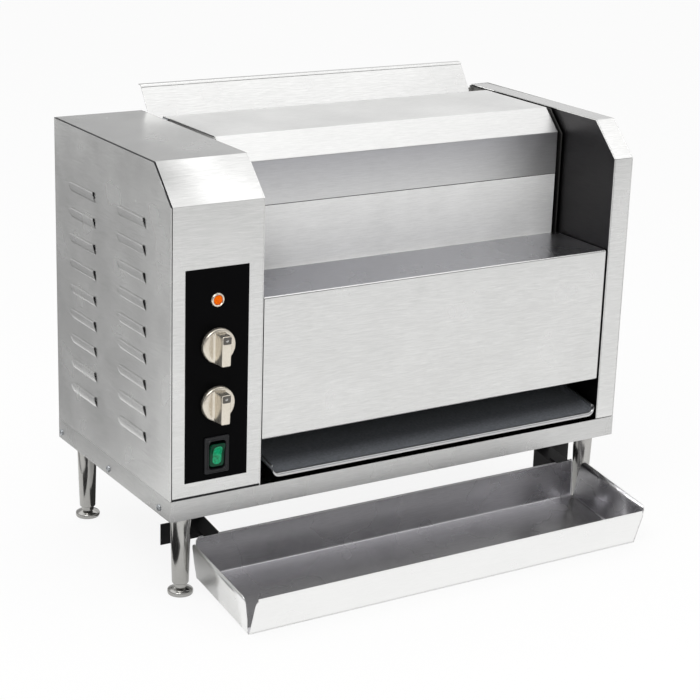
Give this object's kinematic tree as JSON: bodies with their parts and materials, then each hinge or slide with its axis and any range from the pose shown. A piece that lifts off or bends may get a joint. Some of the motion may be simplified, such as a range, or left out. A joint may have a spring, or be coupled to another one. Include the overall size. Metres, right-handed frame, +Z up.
{
  "type": "vertical bun toaster",
  "caption": "Counter-top vertical contact toaster for buns: top slot, belt and heated platen behind sheet covers, front chute, sloped catch tray, knob controls on a side housing, legs.",
  "frame": {"origin": "on the counter surface, under the middle of the whole part", "axes": "+X to the right as seen from the front, +Y to the back, +Z up"},
  "size_m": [0.6412, 0.4578, 0.536],
  "materials": {
    "stainless": "fine horizontal brushing",
    "plated_steel": "dull zinc plate",
    "release_coating": "dark non-stick coating",
    "platen_coating": "dark non-stick coating",
    "heater_tube": "dull sheath",
    "insulation_blanket": "woven mineral blanket",
    "belt_rubber": "matte",
    "cast_aluminium": "as cast",
    "bronze": "sintered",
    "motor_paint": "semi-gloss",
    "chain_steel": "oiled",
    "black_plastic": "fine texture",
    "cream_plastic": "moulded",
    "board": "solder mask",
    "blue_plastic": "moulded",
    "panel_black": "smooth black",
    "amber_lens": "clear tinted lens",
    "satin_nickel": "satin",
    "green_lens": "tinted lens",
    "bracket_black": "satin black",
    "leg_chrome": "bright"
  },
  "bodies": {
    "body": {"base_pan": "stainless", "left_side_cover": "stainless", "control_housing": "stainless", "control_inner_wall": "stainless", "right_end_cover": "stainless", "right_inner_wall": "stainless", "upper_front_panel": "stainless", "rear_panel": "stainless", "left_frame_plate": "plated_steel", "right_frame_plate": "plated_steel", "hood_rail": "plated_steel", "chute_rails": "plated_steel", "platen_mounts": "plated_steel", "heat_shield": "plated_steel", "belt_backing_plate": "plated_steel", "motor_bracket": "plated_steel", "leg_nuts": "plated_steel", "side_screws": "plated_steel", "rear_screws": "plated_steel", "bracket_screws": "plated_steel", "bun_chute": "release_coating", "platen": "platen_coating", "heaters": "heater_tube", "insulation": "insulation_blanket", "conveyor_belt": "belt_rubber", "shaft_bushes": "bronze", "gear_motor": "motor_paint", "drive_chain": "chain_steel", "fan_frame": "black_plastic", "cord_gland": "black_plastic", "contactor": "black_plastic", "switch_body": "black_plastic", "terminal_block": "cream_plastic", "thermostat": "cream_plastic", "pilot_lamp": "cream_plastic", "drive_board": "board", "speed_control": "blue_plastic", "control_panel": "panel_black", "lamp_lens": "amber_lens", "tray_bracket_left": "bracket_black", "tray_bracket_right": "bracket_black", "legs": "leg_chrome"},
    "temperature": {"temperature_knob": "satin_nickel"},
    "speed": {"speed_knob": "satin_nickel"},
    "rocker": {"switch_rocker": "green_lens"},
    "drive": {"drive_shaft": "plated_steel", "drive_wheels": "cast_aluminium", "shaft_sprocket": "chain_steel"},
    "idler": {"idler_shaft": "plated_steel", "idler_wheels": "cast_aluminium"},
    "motor_out": {"motor_sprocket": "chain_steel"},
    "fan": {"fan_rotor": "black_plastic"},
    "tray": {"catch_tray": "stainless"},
    "cover": {"front_cover": "stainless"},
    "hood": {"hood": "stainless"},
    "guide": {"bun_guide": "stainless"},
    "foot_fl": {"foot_front_left": "leg_chrome"},
    "foot_fr": {"foot_front_right": "leg_chrome"},
    "foot_rl": {"foot_rear_left": "leg_chrome"},
    "foot_rr": {"foot_rear_right": "leg_chrome"}
  },
  "joints": [
    {"name": "temperature_turn", "type": "hinge", "parent": "body", "child": "temperature", "pos_m": [-0.2605, -0.10547, 0.305], "axis": [0, 1, 0], "range_deg": [0, 270]},
    {"name": "speed_turn", "type": "hinge", "parent": "body", "child": "speed", "pos_m": [-0.2605, -0.10547, 0.237], "axis": [0, 1, 0], "range_deg": [0, 270]},
    {"name": "rocker_tilt", "type": "hinge", "parent": "body", "child": "rocker", "pos_m": [-0.2605, -0.10247, 0.1755], "axis": [1, 0, 0], "range_deg": [-20, 0]},
    {"name": "drive_spin", "type": "hinge", "parent": "body", "child": "drive", "pos_m": [0, 0.12323, 0.462], "axis": [1, 0, 0], "continuous": true},
    {"name": "idler_spin", "type": "hinge", "parent": "body", "child": "idler", "pos_m": [0, 0.12323, 0.287], "axis": [1, 0, 0], "continuous": true},
    {"name": "motor_spin", "type": "hinge", "parent": "body", "child": "motor_out", "pos_m": [-0.2235, 0.12323, 0.352], "axis": [1, 0, 0], "continuous": true},
    {"name": "fan_spin", "type": "hinge", "parent": "body", "child": "fan", "pos_m": [-0.2605, 0.19283, 0.184], "axis": [0, 1, 0], "continuous": true},
    {"name": "tray_pull", "type": "slide", "parent": "body", "child": "tray", "axis": [0, -1, 0], "range_m": [0, 0.2]},
    {"name": "cover_lift", "type": "slide", "parent": "body", "child": "cover", "axis": [0, 0, 1], "range_m": [0, 0.15]},
    {"name": "hood_lift", "type": "slide", "parent": "body", "child": "hood", "axis": [0, 0, 1], "range_m": [0, 0.1]},
    {"name": "guide_lift", "type": "slide", "parent": "body", "child": "guide", "axis": [0, 0, 1], "range_m": [0, 0.1]},
    {"name": "foot_fl_screw", "type": "slide", "parent": "body", "child": "foot_fl", "axis": [0, 0, -1], "range_m": [0, 0.02]},
    {"name": "foot_fr_screw", "type": "slide", "parent": "body", "child": "foot_fr", "axis": [0, 0, -1], "range_m": [0, 0.02]},
    {"name": "foot_rl_screw", "type": "slide", "parent": "body", "child": "foot_rl", "axis": [0, 0, -1], "range_m": [0, 0.02]},
    {"name": "foot_rr_screw", "type": "slide", "parent": "body", "child": "foot_rr", "axis": [0, 0, -1], "range_m": [0, 0.02]}
  ],
  "couplings": [
    {"joint": "idler_spin", "follows": "drive_spin", "ratio": 1},
    {"joint": "motor_spin", "follows": "drive_spin", "ratio": 1}
  ]
}
